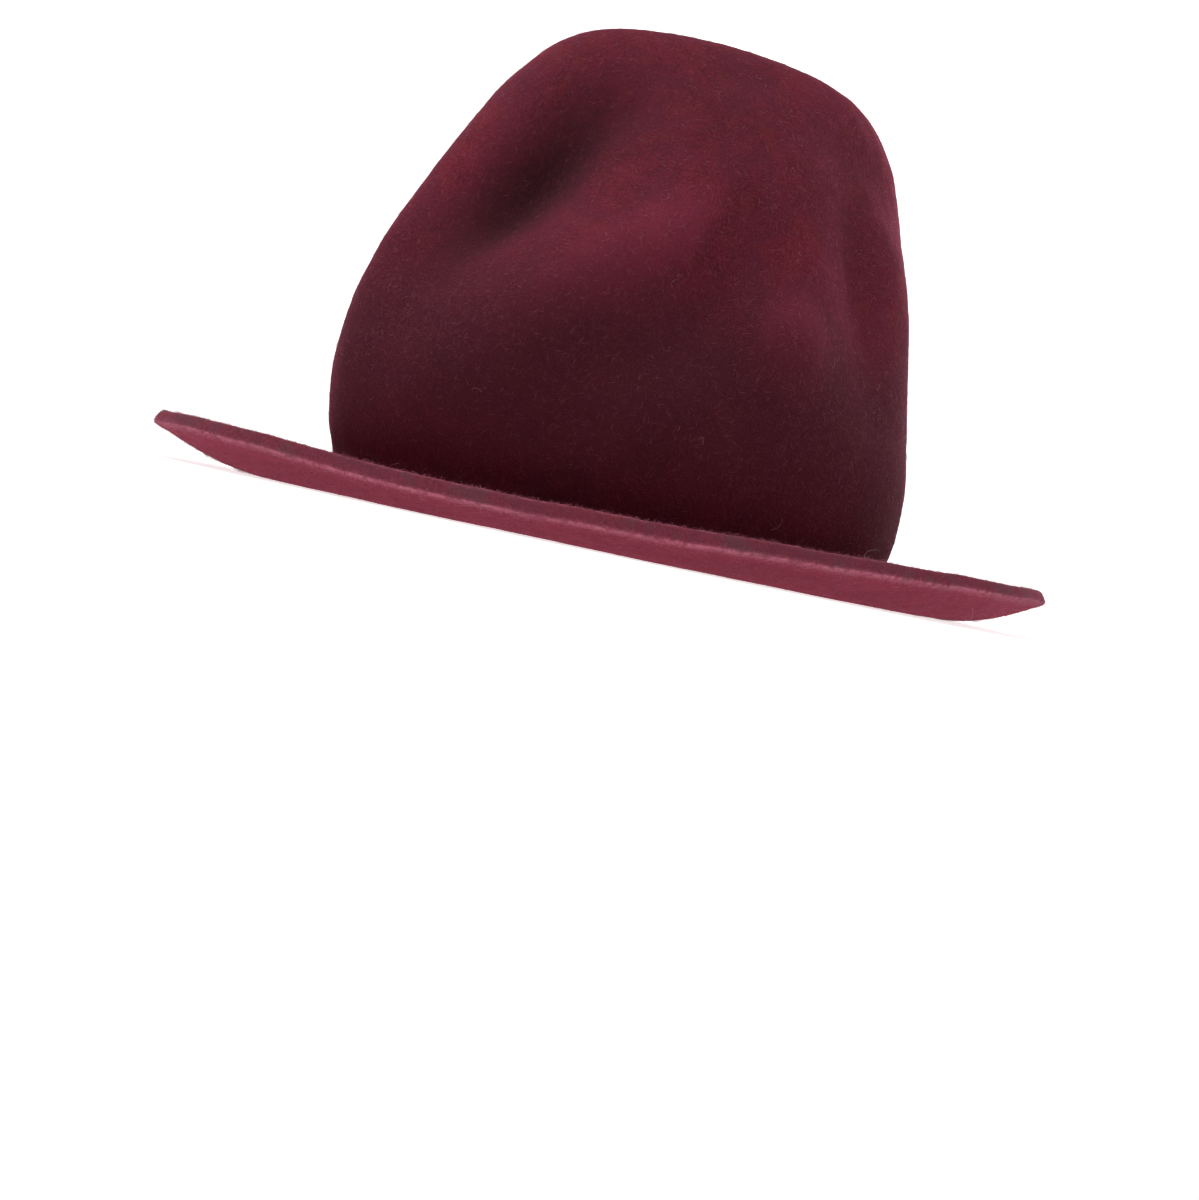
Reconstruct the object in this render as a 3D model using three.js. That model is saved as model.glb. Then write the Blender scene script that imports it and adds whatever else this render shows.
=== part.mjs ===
// Felt hat with a tall pinched crown and a curled brim, a ribbon sweatband and a woven label.
// Millimetres and degrees. +Z is up, the front faces -Y and the wearer's left is +X. The origin
// lies on the surface that the brim rests on, under the middle of the head opening. Angles are
// counted from the front towards the wearer's left.

import * as THREE from 'three';

// Driving dimensions

const felt = { wall: 3, rimWall: 4.4, rimSwell: 12, bendRadius: 11 };
const opening = { front: 102, back: 102, side: 85.5 };
const brim = { flatShare: 0.2, curlPower: 2 };
const sweatband = { height: 32, thickness: 1, gap: 0.3, flare: 0.8, lowerTurn: 40 };
const label = { angle: 190.5, width: 47, height: 29, thickness: 1, gap: 0.5, inset: 1 };
const columns = 64;
const crownRings = 16;
const bendRings = 3;
const brimRings = 6;

// Inside of the crown, a row for each level section: its height, how far it reaches to the front,
// back and side, and how much it rises towards the front for each millimetre of reach.
const crownSections = [
  { height: 11, front: 102, back: 102, side: 85.5, tilt: 0 },
  { height: 24, front: 106, back: 104, side: 87.5, tilt: 0 },
  { height: 42, front: 109, back: 103, side: 88.5, tilt: 0 },
  { height: 60, front: 108, back: 99, side: 85.5, tilt: 0 },
  { height: 80, front: 102.5, back: 95, side: 81, tilt: 0 },
  { height: 100, front: 95.5, back: 92, side: 75.5, tilt: -0.02 },
  { height: 120, front: 88, back: 88, side: 69, tilt: -0.04 },
  { height: 138, front: 80, back: 83.5, side: 62, tilt: -0.07 },
  { height: 154, front: 70.5, back: 77, side: 54.5, tilt: -0.09 },
  { height: 167, front: 57, back: 63, side: 43.5, tilt: -0.1 },
  { height: 174, front: 32, back: 36, side: 25, tilt: -0.11 },
  { height: 177, front: 0, back: 0, side: 0, tilt: -0.11 },
];

// Underside of the brim, a row for each eighth of the way round: its width beyond the opening and
// how high the rim curls above the resting surface.
const brimSections = [
  { width: 59, lift: 10 },
  { width: 59, lift: 5.5 },
  { width: 59, lift: 10 },
  { width: 59, lift: 13 },
  { width: 59, lift: 6 },
  { width: 59, lift: 2 },
  { width: 59, lift: 3 },
  { width: 59, lift: 9.5 },
];

// Dents of the crown, and swells where the depth is negative: where the middle lies, how deep it
// is, its half length and half width, and how steeply its length climbs.
const folds = [
  { name: 'left pinch', angle: 21, height: 107, depth: 16.5, length: 43, width: 23, slant: 66 },
  { name: 'right pinch', angle: -24, height: 106, depth: 12, length: 40, width: 20, slant: 116 },
  { name: 'front ridge', angle: -1, height: 84, depth: -4.5, length: 34, width: 15, slant: 90 },
  { name: 'left ridge', angle: 46, height: 82, depth: -5, length: 52, width: 15, slant: 44 },
  { name: 'left valley', angle: 56, height: 66, depth: 3.5, length: 36, width: 13, slant: 46 },
  { name: 'left dent', angle: 66, height: 96, depth: 3.5, length: 20, width: 10, slant: 76 },
  { name: 'left swell', angle: 82, height: 69, depth: -6, length: 17, width: 14, slant: 75 },
  { name: 'rear left dent', angle: 107, height: 102, depth: 5.5, length: 38, width: 16, slant: 94 },
  { name: 'rear left lip', angle: 132, height: 98, depth: -1.5, length: 26, width: 12, slant: 90 },
  { name: 'top left hollow', angle: 74, height: 158, depth: 2.5, length: 24, width: 18, slant: 0 },
  { name: 'rear shoulder', angle: 124, height: 142, depth: 3, length: 24, width: 17, slant: 0 },
  { name: 'front peak', angle: 18, height: 158, depth: -2, length: 20, width: 17, slant: 0 },
  { name: 'right ridge', angle: -50, height: 84, depth: -2.5, length: 40, width: 16, slant: 130 },
  { name: 'right dent', angle: -84, height: 98, depth: 5, length: 30, width: 20, slant: 100 },
  { name: 'rear right dent', angle: -132, height: 108, depth: 4, length: 34, width: 16, slant: 84 },
];

const burgundy = new THREE.MeshStandardMaterial({ color: 0x6b1f33, roughness: 0.95, metalness: 0 });
const stripedRibbon = new THREE.MeshStandardMaterial({ color: 0xa8505a, roughness: 0.8, metalness: 0 });
const whiteWeave = new THREE.MeshStandardMaterial({ color: 0xe9ecf2, roughness: 0.7, metalness: 0 });

// Sections and points

function smoothRow(rowOf, place) {
  const start = Math.floor(place);
  const share = place - start;
  const [a, b, c, d] = [-1, 0, 1, 2].map((step) => rowOf(start + step));
  const row = {};
  for (const name of Object.keys(b)) {
    const slope = c[name] - a[name];
    const bend = 2 * a[name] - 5 * b[name] + 4 * c[name] - d[name];
    const twist = 3 * (b[name] - c[name]) + d[name] - a[name];
    row[name] = b[name] + 0.5 * share * (slope + share * (bend + share * twist));
  }
  return row;
}

// The wall leaves the bend upright, and the top passes level through its middle.
function crownRow(index) {
  const top = crownSections.length - 1;
  if (index < 0) {
    const next = crownSections[1];
    return { ...next, height: 2 * crownSections[0].height - next.height };
  }
  if (index > top) {
    const mirrored = crownSections[2 * top - index];
    return { ...mirrored, front: -mirrored.front, back: -mirrored.back, side: -mirrored.side };
  }
  return crownSections[index];
}

function brimRow(index) {
  const count = brimSections.length;
  return brimSections[(index + count) % count];
}

function reach(angle, section) {
  const ahead = Math.cos(angle) >= 0 ? section.front : section.back;
  return 1 / Math.hypot(Math.sin(angle) / section.side, Math.cos(angle) / ahead);
}

function pointAt(angle, radius, height) {
  return new THREE.Vector3(radius * Math.sin(angle), -radius * Math.cos(angle), height);
}

function crownPoint(angle, place) {
  const section = smoothRow(crownRow, place);
  const radius = reach(angle, section);
  return pointAt(angle, radius, section.height + section.tilt * radius * Math.cos(angle));
}

function bendPoint(angle, share) {
  const turn = share * Math.PI / 2;
  const radius = reach(angle, opening) + felt.bendRadius * (1 - Math.cos(turn));
  return pointAt(angle, radius, felt.bendRadius * (1 - Math.sin(turn)));
}

function brimPoint(angle, share) {
  const eighth = (angle / (2 * Math.PI)) * brimSections.length;
  const section = smoothRow(brimRow, eighth);
  const span = section.width - felt.bendRadius;
  const radius = reach(angle, opening) + felt.bendRadius + share * span;
  const curl = Math.max(share - brim.flatShare, 0) / (1 - brim.flatShare);
  return pointAt(angle, radius, section.lift * curl ** brim.curlPower);
}

// The felt's inner and under side, as rings from the top of the crown out to the rim

function ringOf(pointOf, share) {
  const ring = [];
  for (let column = 0; column < columns; column += 1) {
    ring.push(pointOf((column / columns) * 2 * Math.PI, share));
  }
  return ring;
}

function plainRings() {
  const rings = [];
  const top = crownSections.length - 1;
  for (let step = 0; step < crownRings; step += 1) {
    rings.push(ringOf(crownPoint, top * (1 - (step + 0.4) / (crownRings - 0.6))));
  }
  for (let step = 1; step <= bendRings; step += 1) {
    rings.push(ringOf(bendPoint, step / bendRings));
  }
  for (let step = 1; step <= brimRings; step += 1) {
    rings.push(ringOf(brimPoint, brim.flatShare + (1 - brim.flatShare) * (step - 1) / (brimRings - 1)));
  }
  return rings;
}

// Unit normals that point away from the felt: into the hollow, and down under the brim.
function innerNormals(rings) {
  return rings.map((ring, level) => ring.map((point, column) => {
    const above = rings[Math.max(level - 1, 0)][column];
    const below = rings[Math.min(level + 1, rings.length - 1)][column];
    const before = ring[(column + columns - 1) % columns];
    const after = ring[(column + 1) % columns];
    const down = new THREE.Vector3().subVectors(below, above);
    const round = new THREE.Vector3().subVectors(after, before);
    return round.cross(down).normalize();
  }));
}

// For each crown point, the way along the felt from the foot of the crown up to it.
function wallLengths(rings) {
  const lengths = [];
  lengths[crownRings - 1] = rings[crownRings - 1].map(() => 0);
  for (let level = crownRings - 2; level >= 0; level -= 1) {
    lengths[level] = rings[level].map((point, column) => (
      lengths[level + 1][column] + point.distanceTo(rings[level + 1][column])
    ));
  }
  return lengths;
}

function lengthAtHeight(rings, lengths, column, height) {
  let level = crownRings - 2;
  while (level > 0 && rings[level][column].z < height) {
    level -= 1;
  }
  const upper = rings[level][column].z;
  const lower = rings[level + 1][column].z;
  const share = (height - lower) / (upper - lower);
  return THREE.MathUtils.lerp(lengths[level + 1][column], lengths[level][column], share);
}

function foldDepth(fold, middleLength, point, length) {
  const angle = Math.atan2(point.x, -point.y) - THREE.MathUtils.degToRad(fold.angle);
  const turn = Math.atan2(Math.sin(angle), Math.cos(angle));
  const sideways = turn * Math.hypot(point.x, point.y);
  const upwards = length - middleLength;
  const slant = THREE.MathUtils.degToRad(fold.slant);
  const along = sideways * Math.cos(slant) + upwards * Math.sin(slant);
  const across = upwards * Math.cos(slant) - sideways * Math.sin(slant);
  return fold.depth * Math.exp(-((along / fold.length) ** 2) - (across / fold.width) ** 2);
}

function foldedRings(rings) {
  const normals = innerNormals(rings);
  const lengths = wallLengths(rings);
  const middles = folds.map((fold) => {
    const column = Math.round(((fold.angle + 360) / 360) * columns) % columns;
    return lengthAtHeight(rings, lengths, column, fold.height);
  });
  return rings.map((ring, level) => ring.map((point, column) => {
    if (level >= crownRings) {
      return point;
    }
    let depth = 0;
    folds.forEach((fold, index) => {
      depth += foldDepth(fold, middles[index], point, lengths[level][column]);
    });
    return point.clone().addScaledVector(normals[level][column], depth);
  }));
}

// The wall is even, and swells over the last few millimetres before the cut rim.
function wallAt(rings, level, column) {
  const rim = rings[rings.length - 1][column];
  const share = THREE.MathUtils.clamp(1 - rings[level][column].distanceTo(rim) / felt.rimSwell, 0, 1);
  return THREE.MathUtils.lerp(felt.wall, felt.rimWall, share);
}

function outerRings(rings) {
  const normals = innerNormals(rings);
  return rings.map((ring, level) => ring.map((point, column) => (
    point.clone().addScaledVector(normals[level][column], -wallAt(rings, level, column))
  )));
}

// Closed bodies

// Skins a row of closed loops. The last loop joins the first where the ends are joined. Else each
// end is closed, by a fan round its middle or by rungs between its two long sides.
function closedBody(loops, ends) {
  const size = loops[0].length;
  const points = loops.flat();
  const triangles = [];
  const corner = (loop, place) => (loop % loops.length) * size + (place % size);
  const spans = ends === 'joined' ? loops.length : loops.length - 1;
  for (let loop = 0; loop < spans; loop += 1) {
    for (let place = 0; place < size; place += 1) {
      const [a, b] = [corner(loop, place), corner(loop + 1, place)];
      const [c, d] = [corner(loop + 1, place + 1), corner(loop, place + 1)];
      triangles.push(a, b, c, a, c, d);
    }
  }
  const last = loops.length - 1;
  if (ends === 'fan') {
    const firstMiddle = points.push(middleOf(loops[0])) - 1;
    const lastMiddle = points.push(middleOf(loops[last])) - 1;
    for (let place = 0; place < size; place += 1) {
      triangles.push(firstMiddle, corner(0, place), corner(0, place + 1));
      triangles.push(lastMiddle, corner(last, place + 1), corner(last, place));
    }
  }
  if (ends === 'rungs') {
    for (let place = 0; place < size / 2 - 1; place += 1) {
      const [near, far] = [size - 1 - place, size - 2 - place];
      triangles.push(corner(0, place), corner(0, place + 1), corner(0, far));
      triangles.push(corner(0, place), corner(0, far), corner(0, near));
      triangles.push(corner(last, far), corner(last, place + 1), corner(last, place));
      triangles.push(corner(last, near), corner(last, far), corner(last, place));
    }
  }
  const geometry = new THREE.BufferGeometry().setFromPoints(points);
  geometry.setIndex(triangles);
  geometry.computeVertexNormals();
  return geometry;
}

function middleOf(loop) {
  const middle = new THREE.Vector3();
  loop.forEach((point) => middle.add(point));
  return middle.divideScalar(loop.length);
}

function feltBody() {
  const inner = foldedRings(plainRings());
  const outer = outerRings(inner);
  return closedBody([...outer, ...inner.reverse()], 'fan');
}

// A point of the ribbon, at a way up it from its lower edge and a depth in from the felt. The
// lower edge rolls out round the bend, and the free upper edge leans out a little.
function ribbonPoint(angle, way, depth) {
  const lowerTurn = THREE.MathUtils.degToRad(sweatband.lowerTurn);
  const rolled = lowerTurn * felt.bendRadius;
  const foot = reach(angle, opening);
  if (way < rolled) {
    const turn = lowerTurn * (1 - way / rolled);
    const radius = felt.bendRadius + depth;
    const across = foot + felt.bendRadius - radius * Math.cos(turn);
    return pointAt(angle, across, felt.bendRadius - radius * Math.sin(turn));
  }
  const lean = sweatband.flare * (way - rolled) / (sweatband.height - rolled);
  return pointAt(angle, foot - depth + lean, felt.bendRadius + way - rolled);
}

function ribbonLoop(angle, from, to, depth, thickness) {
  const rolled = THREE.MathUtils.degToRad(sweatband.lowerTurn) * felt.bendRadius;
  const ways = [from, rolled / 2, rolled, to];
  const outer = ways.map((way) => ribbonPoint(angle, way, depth));
  const inner = ways.map((way) => ribbonPoint(angle, way, depth + thickness));
  return [...outer, ...inner.reverse()];
}

function sweatbandRing() {
  const loops = [];
  for (let column = 0; column < columns; column += 1) {
    const angle = (column / columns) * 2 * Math.PI;
    loops.push(ribbonLoop(angle, 0, sweatband.height, sweatband.gap, sweatband.thickness));
  }
  return closedBody(loops, 'joined');
}

function labelPlate() {
  const loops = [];
  const middle = THREE.MathUtils.degToRad(label.angle);
  const depth = sweatband.gap + sweatband.thickness + label.gap;
  const halfTurn = label.width / 2 / reach(middle, opening);
  const steps = 10;
  for (let step = 0; step <= steps; step += 1) {
    const angle = middle + halfTurn * (2 * step / steps - 1);
    loops.push(ribbonLoop(angle, label.inset, label.inset + label.height, depth, label.thickness));
  }
  return closedBody(loops, 'rungs');
}

// The hat

function piece(name, geometry, material) {
  const mesh = new THREE.Mesh(geometry, material);
  mesh.name = name;
  return mesh;
}

const hat = new THREE.Group();
hat.name = 'hat';
hat.add(piece('felt_body', feltBody(), burgundy));
hat.add(piece('sweatband', sweatbandRing(), stripedRibbon));
hat.add(piece('label', labelPlate(), whiteWeave));

export default hat;
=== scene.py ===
"""A burgundy wool felt hat with a tall pinched crown, a striped ribbed sweatband and a bare label.

The hat rests on its brim. Shapes are given in millimetres, as in the part, and meshes are made in
metres. Angles are counted from the front of the hat towards the wearer's left.
"""

import math
from typing import NamedTuple

import bmesh
import bpy
import numpy as np
from mathutils import Matrix, Vector, noise


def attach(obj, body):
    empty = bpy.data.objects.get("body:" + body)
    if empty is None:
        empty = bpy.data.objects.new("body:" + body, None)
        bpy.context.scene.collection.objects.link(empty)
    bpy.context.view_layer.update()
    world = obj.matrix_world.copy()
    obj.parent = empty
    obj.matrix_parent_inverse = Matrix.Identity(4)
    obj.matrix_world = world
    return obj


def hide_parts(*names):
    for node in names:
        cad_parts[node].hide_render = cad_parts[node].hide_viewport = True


bl_info = {
    "name": "Mountain hat",
    "version": (1, 0, 0),
    "blender": (4, 5, 0),
    "location": "3D View > Sidebar > Hat",
    "description": "Makes a felt hat with its nap, sweatband, label and stitches",
    "category": "Add Mesh",
}

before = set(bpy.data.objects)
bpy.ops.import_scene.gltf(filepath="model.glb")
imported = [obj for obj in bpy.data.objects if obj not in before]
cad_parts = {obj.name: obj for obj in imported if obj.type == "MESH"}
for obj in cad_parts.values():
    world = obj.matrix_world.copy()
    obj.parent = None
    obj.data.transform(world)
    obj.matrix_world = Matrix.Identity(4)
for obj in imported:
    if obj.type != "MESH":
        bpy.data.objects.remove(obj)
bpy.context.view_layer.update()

MM = 0.001
BODY = "root"


# The shape of the felt, as in the part

class CrownSection(NamedTuple):
    """A level section through the inside of the crown."""

    height: float
    front: float
    back: float
    side: float
    tilt: float


class BrimSection(NamedTuple):
    """The brim at one eighth of the way round."""

    width: float
    lift: float


class Fold(NamedTuple):
    """A dent of the crown, or a swell where the depth is negative."""

    name: str
    angle: float
    height: float
    depth: float
    length: float
    width: float
    slant: float


CROWN_SECTIONS = [CrownSection(*row) for row in (
    (11, 102, 102, 85.5, 0),
    (24, 106, 104, 87.5, 0),
    (42, 109, 103, 88.5, 0),
    (60, 108, 99, 85.5, 0),
    (80, 102.5, 95, 81, 0),
    (100, 95.5, 92, 75.5, -0.02),
    (120, 88, 88, 69, -0.04),
    (138, 80, 83.5, 62, -0.07),
    (154, 70.5, 77, 54.5, -0.09),
    (167, 57, 63, 43.5, -0.1),
    (174, 32, 36, 25, -0.11),
    (177, 0, 0, 0, -0.11),
)]

BRIM_SECTIONS = [BrimSection(*row) for row in (
    (59, 10),
    (59, 5.5),
    (59, 10),
    (59, 13),
    (59, 6),
    (59, 2),
    (59, 3),
    (59, 9.5),
)]

FOLDS = [Fold(*row) for row in (
    ("left pinch", 21, 107, 16.5, 43, 23, 66),
    ("right pinch", -24, 106, 12, 40, 20, 116),
    ("front ridge", -1, 84, -4.5, 34, 15, 90),
    ("left ridge", 46, 82, -5, 52, 15, 44),
    ("left valley", 56, 66, 3.5, 36, 13, 46),
    ("left dent", 66, 96, 3.5, 20, 10, 76),
    ("left swell", 82, 69, -6, 17, 14, 75),
    ("rear left dent", 107, 102, 5.5, 38, 16, 94),
    ("rear left lip", 132, 98, -1.5, 26, 12, 90),
    ("top left hollow", 74, 158, 2.5, 24, 18, 0),
    ("rear shoulder", 124, 142, 3, 24, 17, 0),
    ("front peak", 18, 158, -2, 20, 17, 0),
    ("right ridge", -50, 84, -2.5, 40, 16, 130),
    ("right dent", -84, 98, 5, 30, 20, 100),
    ("rear right dent", -132, 108, 4, 34, 16, 84),
)]

OPENING_FRONT = 102.0
OPENING_SIDE = 85.5
BEND_RADIUS = 11.0
TRIED_PLACES = 800
FLAT_SHARE = 0.2
CURL_POWER = 2
RIM_SWELL = 12.0


# The yarns and stripes of the sweatband ribbon

YARNS = {
    "red": (0.50, 0.055, 0.065),
    "wine": (0.10, 0.018, 0.03),
    "blue": (0.055, 0.10, 0.36),
    "navy": (0.012, 0.02, 0.055),
    "black": (0.018, 0.018, 0.02),
    "white": (0.74, 0.76, 0.78),
    "lilac": (0.50, 0.48, 0.70),
    "yellow": (0.60, 0.42, 0.07),
}


class Stripe(NamedTuple):
    """A stripe from this angle on, with the colour of its ribs and of the grooves between them."""

    start: float
    rib: str
    groove: str
    slant: float


STRIPES = [Stripe(*row) for row in (
    (-6, "yellow", "black", 0),
    (8, "red", "wine", 0),
    (28, "blue", "navy", 4),
    (46, "navy", "black", 0),
    (52, "lilac", "white", 0),
    (68, "red", "white", -3),
    (84, "white", "black", 0),
    (104, "blue", "navy", 0),
    (124, "white", "navy", 0),
    (132, "red", "wine", 0),
    (151, "yellow", "white", 2),
    (163, "white", "black", 0),
    (177, "yellow", "black", 0),
    (212, "red", "wine", 2),
    (225, "white", "navy", 0),
    (233, "red", "wine", 0),
    (256, "blue", "navy", -6),
    (271, "navy", "black", 3),
    (276, "white", "black", 0),
    (293, "navy", "black", 0),
    (298, "blue", "navy", 0),
    (313, "red", "white", -3),
    (326, "lilac", "white", 0),
    (345, "white", "black", 0),
)]


# The point of view

VIEW_AZIMUTH = 55.0
VIEW_ELEVATION = 0.6
VIEW_ROLL = 12.0
VIEW_DISTANCE = 415.0
IMAGE_SIDE = 1200
FOCAL_PIXELS = 1135
ORIGIN_RIGHT_PIXELS = 11
ORIGIN_UP_PIXELS = 51
SENSOR_WIDTH = 36.0


# Node trees

def arithmetic(operation, reflected=False):
    """An operator of Term that adds a Math node."""
    def method(term, other):
        pair = (other, term) if reflected else (term, other)
        return term.graph.maths(operation, *pair)

    return method


class Term:
    """A socket of a node tree that arithmetic can be written with."""

    def __init__(self, graph, node, socket):
        self.graph = graph
        self.node = node
        self.socket = socket

    def __getitem__(self, name):
        return Term(self.graph, self.node, find_socket(self.node.outputs, name))

    __add__ = arithmetic("ADD")
    __radd__ = arithmetic("ADD", reflected=True)
    __sub__ = arithmetic("SUBTRACT")
    __rsub__ = arithmetic("SUBTRACT", reflected=True)
    __mul__ = arithmetic("MULTIPLY")
    __rmul__ = arithmetic("MULTIPLY", reflected=True)
    __truediv__ = arithmetic("DIVIDE")
    __rtruediv__ = arithmetic("DIVIDE", reflected=True)


def find_socket(sockets, name):
    """The socket in use with that identifier or name."""
    for socket in sockets:
        if socket.enabled and name in (socket.identifier, socket.name):
            return socket
    raise KeyError(f"no socket {name} among {[socket.name for socket in sockets]}")


class Graph:
    """Adds nodes to a tree."""

    def __init__(self, tree):
        self.tree = tree
        self.tree.nodes.clear()

    def node(self, kind, inputs=(), output=None, **settings):
        """A new node with its settings made first. The term is its named or first output."""
        node = self.tree.nodes.new(kind)
        for name, value in settings.items():
            setattr(node, name, value)
        for name, value in dict(inputs).items():
            self.feed(find_socket(node.inputs, name), value)
        if output is not None:
            return Term(self, node, find_socket(node.outputs, output))
        usable = [socket for socket in node.outputs if socket.enabled]
        return Term(self, node, usable[0] if usable else None)

    def feed(self, socket, value):
        """Links a term to a socket, or sets the socket's own value."""
        if isinstance(value, Term):
            self.tree.links.new(value.socket, socket)
        elif socket.type == "RGBA":
            socket.default_value = (*value, 1)
        else:
            socket.default_value = value

    def ramp(self, value, stops):
        """The colour that a value has between (place, colour) stops."""
        found = self.node("ShaderNodeValToRGB", {"Fac": value})
        elements = found.node.color_ramp.elements
        while len(elements) < len(stops):
            elements.new(0.5)
        for element, (place, colour) in zip(elements, stops):
            element.position = place
            element.color = (*colour, 1)
        return found

    def maths(self, operation, first, second=None):
        """A term worked out from one or two values."""
        inputs = {"Value": first}
        if second is not None:
            inputs["Value_001"] = second
        return self.node("ShaderNodeMath", inputs, operation=operation)

    def wave(self, way, length, shift=0):
        """A wave from -1 to 1 of that length along a way, put forward by a shift in radians."""
        return self.maths("SINE", way * (2 * math.pi / length) + shift)

    def mix(self, share, first, second, way="MIX"):
        """A colour between two colours, or the product of both where the way is MULTIPLY."""
        inputs = {"Factor": share, "A": first, "B": second}
        return self.node("ShaderNodeMix", inputs, data_type="RGBA", blend_type=way)

    def between(self, value, low, high, to_low=0.0, to_high=1.0):
        """The value's smooth rise from low to high, as a number from to_low to to_high."""
        inputs = {
            "Value": value,
            "From Min": low,
            "From Max": high,
            "To Min": to_low,
            "To Max": to_high,
        }
        return self.node("ShaderNodeMapRange", inputs, interpolation_type="SMOOTHSTEP")

    def grain(self, place, size, detail=2.0, roughness=0.5):
        """Soft noise with features of that size in millimetres, about 0.5 all over."""
        inputs = {
            "Vector": place,
            "Scale": 1 / size,
            "Detail": detail,
            "Roughness": roughness,
        }
        return self.node("ShaderNodeTexNoise", inputs, noise_dimensions="3D")

    def strands(self, place, kind):
        """Marks of stray fibres that lie along a few directions."""
        marks = 0
        for turn in kind.turns:
            stretched = self.node("ShaderNodeMapping", {
                "Vector": place,
                "Rotation": tuple(math.radians(angle) for angle in turn),
                "Scale": (kind.length, kind.width, kind.width),
            }, vector_type="TEXTURE")
            noise_along = self.node("ShaderNodeTexNoise", {
                "Vector": stretched,
                "Scale": 1.0,
                "Detail": 1.0,
                "Distortion": 0.6,
            })
            marks = marks + self.between(noise_along, kind.low, kind.high)
        return marks

    def grey(self, value):
        """A colour whose three parts are all that value."""
        return self.node("ShaderNodeCombineColor", dict.fromkeys(("Red", "Green", "Blue"), value))

    def vector(self, **parts):
        """A vector of its X, Y and Z parts, where a part left out is zero."""
        return self.node("ShaderNodeCombineXYZ", parts)

    def parts(self, vector):
        """The X, Y and Z parts of a vector."""
        return self.node("ShaderNodeSeparateXYZ", {"Vector": vector})

    def marked(self, name, kind):
        """What a surface holds under that name, for a geometry tree."""
        return self.node("GeometryNodeInputNamedAttribute", {"Name": name}, data_type=kind)

    def chance(self, low, high, seed):
        """A random number for each point of a geometry tree."""
        inputs = {"Min": low, "Max": high, "Seed": seed}
        return self.node("FunctionNodeRandomValue", inputs, data_type="FLOAT")

    def millimetres(self):
        """The place on the piece, in millimetres."""
        place = self.node("ShaderNodeTexCoord", output="Object")
        inputs = {"Vector": place, "Scale": 1 / MM}
        return self.node("ShaderNodeVectorMath", inputs, operation="SCALE")

    def attribute(self, name, output="Fac"):
        """A value that the mesh holds."""
        return self.node("ShaderNodeAttribute", output=output, attribute_name=name)

    def bump(self, height, depth, strength=1.0):
        """A normal roughened by a height from 0 to 1 of that depth in millimetres."""
        inputs = {"Height": height, "Distance": depth * MM, "Strength": strength}
        return self.node("ShaderNodeBump", inputs)

    def finish_surface(self, inputs):
        """Ends the material in one Principled shader."""
        shader = self.node("ShaderNodeBsdfPrincipled", inputs)
        self.node("ShaderNodeOutputMaterial", {"Surface": shader})


def shaded(colour, share):
    """A darker shade of a colour."""
    return tuple(share * part for part in colour)


def new_material(name):
    """(a new material, the graph of its nodes)."""
    material = bpy.data.materials.new(name)
    material.use_nodes = True
    return material, Graph(material.node_tree)


def new_shape_graph(name, sizes):
    """(the graph of a new geometry tree, its group input). sizes is {name: kind of value}."""
    tree = bpy.data.node_groups.new(name, "GeometryNodeTree")
    tree.is_modifier = True
    tree.interface.new_socket("Geometry", in_out="INPUT", socket_type="NodeSocketGeometry")
    for size_name, kind in sizes.items():
        tree.interface.new_socket(size_name, in_out="INPUT", socket_type=f"NodeSocket{kind}")
    tree.interface.new_socket("Geometry", in_out="OUTPUT", socket_type="NodeSocketGeometry")
    graph = Graph(tree)
    return graph, graph.node("NodeGroupInput")


def finish_shape(graph, material, repeats):
    """Sets an instance on each point and ends the tree in plain faces of one material."""
    instances = graph.node("GeometryNodeInstanceOnPoints", repeats)
    real = graph.node("GeometryNodeRealizeInstances", {"Geometry": instances})
    dressed = graph.node("GeometryNodeSetMaterial", {"Geometry": real, "Material": material})
    graph.node("NodeGroupOutput", {"Geometry": dressed})
    return graph.tree


def points_along(graph, line, mode, spacing):
    """Even points along a line. spacing names the socket of that mode and gives its value."""
    curve = graph.node("GeometryNodeMeshToCurve", {"Mesh": line})
    return graph.node("GeometryNodeResampleCurve", {"Curve": curve, **spacing}, mode=mode)


def grown_mesh(name, source, tree, values):
    """The plain mesh that a geometry tree grows from a source mesh with those input values."""
    carrier = shown_object(source)
    modifier = carrier.modifiers.new("grow", "NODES")
    modifier.node_group = tree
    for item in tree.interface.items_tree:
        if item.in_out == "INPUT" and item.name in values:
            modifier[item.identifier] = values[item.name]
    shown = carrier.evaluated_get(bpy.context.evaluated_depsgraph_get())
    mesh = bpy.data.meshes.new_from_object(shown)
    mesh.name = name
    carrier.modifiers.remove(modifier)
    bpy.data.objects.remove(carrier)
    return mesh


# Meshes

def plain_mesh(name, points, edges, faces):
    """A smooth mesh of points in millimetres."""
    mesh = bpy.data.meshes.new(name)
    mesh.from_pydata((np.asarray(points) * MM).tolist(), edges, faces)
    mesh.polygons.foreach_set("use_smooth", [True] * len(mesh.polygons))
    return mesh


def mesh_from(name, points, faces):
    """A smooth closed mesh of points in millimetres, with its faces pointing out."""
    mesh = plain_mesh(name, points, [], faces)
    editable = bmesh.new()
    editable.from_mesh(mesh)
    bmesh.ops.recalc_face_normals(editable, faces=editable.faces)
    editable.to_mesh(mesh)
    editable.free()
    return mesh


def line_mesh(name, points, closed):
    """A line of points in millimetres that a geometry tree can follow."""
    count = len(points)
    edges = [(step, (step + 1) % count) for step in range(count if closed else count - 1)]
    return plain_mesh(name, points, edges, [])


def shown_object(data):
    """A new object at the origin of the scene, named like its data."""
    made = bpy.data.objects.new(data.name, data)
    bpy.context.scene.collection.objects.link(made)
    return made


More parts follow.
